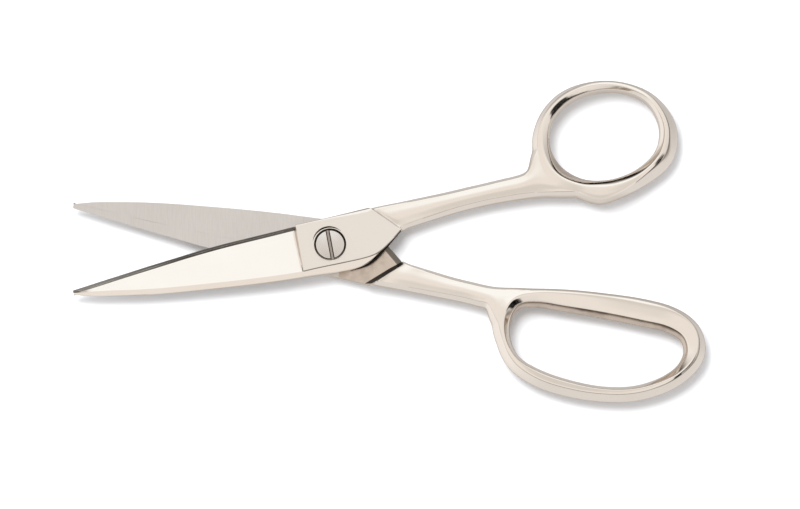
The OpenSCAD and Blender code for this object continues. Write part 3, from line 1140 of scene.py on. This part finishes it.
# %% Thread
def thread_group():
    group = bpy.data.node_groups.new("thread_on_helix", "GeometryNodeTree")
    group.interface.new_socket("Geometry", in_out="OUTPUT", socket_type="NodeSocketGeometry")
    for name, kind in (("Radius", "Float"), ("Pitch", "Float"), ("Turns", "Float"),
                       ("Depth", "Float"), ("Material", "Material")):
        group.interface.new_socket(name, in_out="INPUT", socket_type="NodeSocket" + kind)
    new, link = group.nodes.new, group.links.new
    given, out = new("NodeGroupInput"), new("NodeGroupOutput")
    height = new("ShaderNodeMath")
    height.operation = "MULTIPLY"
    link(given.outputs["Pitch"], height.inputs[0])
    link(given.outputs["Turns"], height.inputs[1])
    helix = new("GeometryNodeCurveSpiral")
    helix.inputs["Resolution"].default_value = 64
    link(given.outputs["Turns"], helix.inputs["Rotations"])
    link(given.outputs["Radius"], helix.inputs["Start Radius"])
    link(given.outputs["Radius"], helix.inputs["End Radius"])
    link(height.outputs[0], helix.inputs["Height"])
    profile = new("GeometryNodeCurvePrimitiveCircle")
    profile.inputs["Resolution"].default_value = 3
    link(given.outputs["Depth"], profile.inputs["Radius"])
    sweep = new("GeometryNodeCurveToMesh")
    sweep.inputs["Fill Caps"].default_value = True
    link(helix.outputs[0], sweep.inputs["Curve"])
    link(profile.outputs[0], sweep.inputs["Profile Curve"])
    real, paint = new("GeometryNodeRealizeInstances"), new("GeometryNodeSetMaterial")
    link(sweep.outputs[0], real.inputs[0])
    link(real.outputs[0], paint.inputs["Geometry"])
    link(given.outputs["Material"], paint.inputs["Material"])
    link(paint.outputs[0], out.inputs[0])
    return group


THREAD_START = .22     # height of the first turn above the screw's end


def screw_thread(**sizes):
    """The thread as a plain mesh. sizes has the node group's inputs by name."""
    group = thread_group()
    ob = new_object("pivot_thread", bpy.data.meshes.new("pivot_thread"))
    nodes = ob.modifiers.new("thread", "NODES")
    nodes.node_group = group
    for item in group.interface.items_tree:
        if item.in_out == "INPUT":
            nodes[item.identifier] = sizes[item.name]
    bpy.context.view_layer.update()
    baked(ob)
    ob.data.transform(Matrix.Translation((0, 0, THREAD_START * MM)))
    return outwards(ob)


thread = screw_thread(Radius=2.18 * MM, Pitch=.45 * MM, Turns=2.9, Depth=.16 * MM,
                      Material=TURNED)
settle(thread, Matrix.Identity(4), "rear_half", "screw_steel", "pivot_screw")

# %% [markdown]
# ## Washer
# A thin spring washer in the seat keeps the nut from working loose each time the blades
# turn. It is a ring with a small chamfer on its outer corners, and the helper that turned
# the screw makes it from its section. A torus or a scaled cylinder would have no chamfer.

# %% Washer
washer = turned("lock_washer_ring", [(r, z, TURNED) for r, z in (
    (2.55, 1.6), (4.8, 1.6), (4.9, 1.66), (4.9, 1.91), (4.8, 1.97), (2.55, 1.97), (2.55, 1.6))],
    (TURNED,))
settle(outwards(washer), Matrix.Identity(4), "rear_half", "washer_steel", "lock_washer")

# %% [markdown]
# ## Nut
# A hexagonal nut is cut from a six sided bar and then chamfered on a lathe, which rounds
# only its corners. A six sided cylinder with a bevel would not show those curved lines.
# So every ring has many points, each at the nearer of two distances from the axis: the
# hexagon's side, or the cone of the chamfer.

# %% Nut
NUT_HEIGHT = 1.6
NUT_FLAT = 4.5         # from the axis to a flat
NUT_CORNER = 5.15      # from the axis to a corner
NUT_BORE = 2.42


def to_flat(angle):
    """Distance from the axis to the side of the hexagon in this direction."""
    return NUT_FLAT / math.cos((angle + math.pi / 6) % (math.pi / 3) - math.pi / 6)


def hex_nut():
    points = []
    for z, chamfer in ((0, .4), (.25, 0), (NUT_HEIGHT - .25, 0), (NUT_HEIGHT, .4)):
        for k in range(ROUND):
            a = 2 * math.pi * k / ROUND
            r = min(to_flat(a), NUT_CORNER - chamfer)
            points.append((r * math.cos(a), r * math.sin(a), z))
    points += circle(NUT_BORE, NUT_HEIGHT) + circle(NUT_BORE, 0)
    faces = []
    for a in range(0, len(points), ROUND):
        b = (a + ROUND) % len(points)
        for k in range(ROUND):
            m = (k + 1) % ROUND
            faces.append([a + k, a + m, b + m, b + k])
    marks = [TURNED] * len(faces)
    return new_object("hex_nut", mesh_from("hex_nut", points, faces, marks, (TURNED,)))


settle(outwards(hex_nut()), Matrix.Identity(4), "rear_half", "screw_steel", "pivot_nut")

# %% [markdown]
# ## Table
# The shears lie on a plain pale sheet. A sheet with an edge in view would need a curved
# backdrop, and this one is so large that no edge shows. It lies a hair below the bows,
# and it is left out of reflections, because polished metal would show its far end as a
# hard line.

# %% Table
TABLE_SIZE = 6         # metres
TABLE_DROP = .1        # mm below the lowest point of the bows
TABLE_COLOUR = (.905, .93, .97)


def stage_table():
    mesh = bpy.data.meshes.new("table")
    h = TABLE_SIZE / 2
    mesh.from_pydata([(-h, -h, 0), (h, -h, 0), (h, h, 0), (-h, h, 0)], [], [[0, 1, 2, 3]])
    mesh.materials.append(Shader("table", Base_Color=(*TABLE_COLOUR, 1), Roughness=0.9).material)
    ob = new_object("table", mesh)
    ob.matrix_world = Matrix.Translation((0, 0, -TABLE_DROP * MM))
    ob.visible_glossy = False
    return ob


print("table", stage_table().dimensions[0], "m wide")

# %% [markdown]
# ## Light tent
# Bright metal shows what is round it more than its own colour, so it is lit in a white
# tent, with a few dark cards that draw black lines along its edges. Real cards and cloth
# could be modelled. A world that is painted by direction does the same, lights the
# shears evenly and adds no geometry. Each patch is a cone about one direction: its
# brightness depends on how nearly a direction points there.

# %% Light tent
TABLE_GLOW = 0.92      # how bright the camera sees the world beyond the table
CARDS = [
    # azimuth from +X, elevation, half width, soft rim, how dark
    (-90, 76, 10, 9, .18), (-50, 23, 9, 2, .97), (-21, 25, 6, 2, .97), (-34, 26, 14, 2, .98),
    (-62, 20, 7, 2, .9)]


def cone(tree, direction, azimuth, elevation, wide, soft):
    """1 inside a round patch of half angle wide, fading out over soft degrees."""
    a, e = math.radians(azimuth), math.radians(elevation)
    aim = (math.cos(a) * math.cos(e), math.sin(a) * math.cos(e), math.sin(e))
    near = tree.node("ShaderNodeVectorMath", {"operation": "DOT_PRODUCT"},
                     {0: direction, 1: aim}).outputs["Value"]
    return Value(tree, near).rise(math.cos(math.radians(wide + soft)),
                                  math.cos(math.radians(wide)))


def tent():
    """Soft white above, warm and darker near the table."""
    world = bpy.data.worlds.new("tent")
    bpy.context.scene.world = world
    world.use_nodes = True
    tree = Nodes(world.node_tree)
    direction = tree.node("ShaderNodeTexCoord").outputs["Generated"]
    x, y, z = tree.separate(direction)
    # shares of the far side, the low part, the dim band at the table's height and the floor
    far = (y * 0.8 + x * 0.22).rise(-.05, .60)
    low = 1 - z.rise(.30, .60)
    horizon = z.rise(-.16, -.07) * (1 - z.rise(.08, .26))
    under = 1 - z.rise(-.97, -.78)
    window = cone(tree, direction, 100, 52, 17, 11)
    light = 0.96 - low * (0.13 + far * 0.20) - horizon * (0.52 + far * 0.12) - under * 0.30
    light = light + low * (0 - x).rise(.30, .90) * 0.20
    light = light + window * 0.22
    for *card, dark in CARDS:
        light = light * (1 - cone(tree, direction, *card) * dark)

    colour = tree.between(low, (1, .96, .92), (1, .975, .96))
    colour = tree.between(under * 0.5 + horizon * 0.5, colour, (1, .82, .66))
    colour = tree.between(window, colour, (.955, .985, 1))
    seen = Value(tree, tree.node("ShaderNodeLightPath").outputs["Is Camera Ray"])
    background = tree.tree.nodes["Background"]
    tree.put(background.inputs["Color"], tree.between(seen, colour, (1, 1, 1)))
    tree.put(background.inputs["Strength"], light * (1 - seen) + seen * TABLE_GLOW)
    return len(tree.tree.nodes)


print("nodes in the tent:", tent())

# %% [markdown]
# ## Key lamp
# An even tent alone leaves the shears floating, because nothing throws a shadow. One
# large soft lamp above and behind gives each bow a faint shadow on the sheet. A sun lamp
# would make that shadow hard. The lamp is hidden from reflections, where its square shape
# would show.

# %% Key lamp
def lamp(name, spot, aim, size, watts):
    data = bpy.data.lights.new(name, "AREA")
    data.size = size
    data.energy = watts
    ob = bpy.data.objects.new(name, data)
    bpy.context.scene.collection.objects.link(ob)
    ob.location = spot
    ob.rotation_euler = (Vector(aim) - Vector(spot)).to_track_quat("-Z", "Y").to_euler()
    ob.visible_glossy = False
    return ob


key = lamp("key", (-.19, .25, .98), (.02, 0, 0), .40, 8)
print("key lamp", round(key.location.length, 2), "m from the pivot")

# %% [markdown]
# ## Camera
# The shears are seen from nearly straight above. A wide lens close by would make the bows
# look larger than the blades, so a long one stands two metres away, and its length is
# worked out from the width that has to be in view. Standard view colours keep the pale
# sheet pale.

# %% Camera
VIEW_WIDTH = .2224     # metres in view at the shears
DISTANCE = 2.2
ELEVATION = 81.3       # degrees above the table
ROLL = -.53            # turn of the camera about the vertical, degrees
SENSOR = 36
target = Vector((.01938, -.00229, SHEAR_Z * MM))

scene = bpy.context.scene
scene.view_settings.view_transform = "Standard"
camera_data = bpy.data.cameras.new("camera")
camera_data.sensor_width = SENSOR
camera_data.lens = SENSOR * DISTANCE / VIEW_WIDTH
camera_data.clip_start = .05
camera_data.clip_end = 20
camera = bpy.data.objects.new("camera", camera_data)
scene.collection.objects.link(camera)
tilt, roll = math.radians(90 - ELEVATION), math.radians(ROLL)
back = Matrix.Rotation(roll, 3, "Z") @ Vector((0, -math.sin(tilt), math.cos(tilt)))
camera.location = target + back * DISTANCE
camera.rotation_euler = (tilt, 0, roll)
scene.camera = camera
print("lens", round(camera_data.lens, 1), "mm")
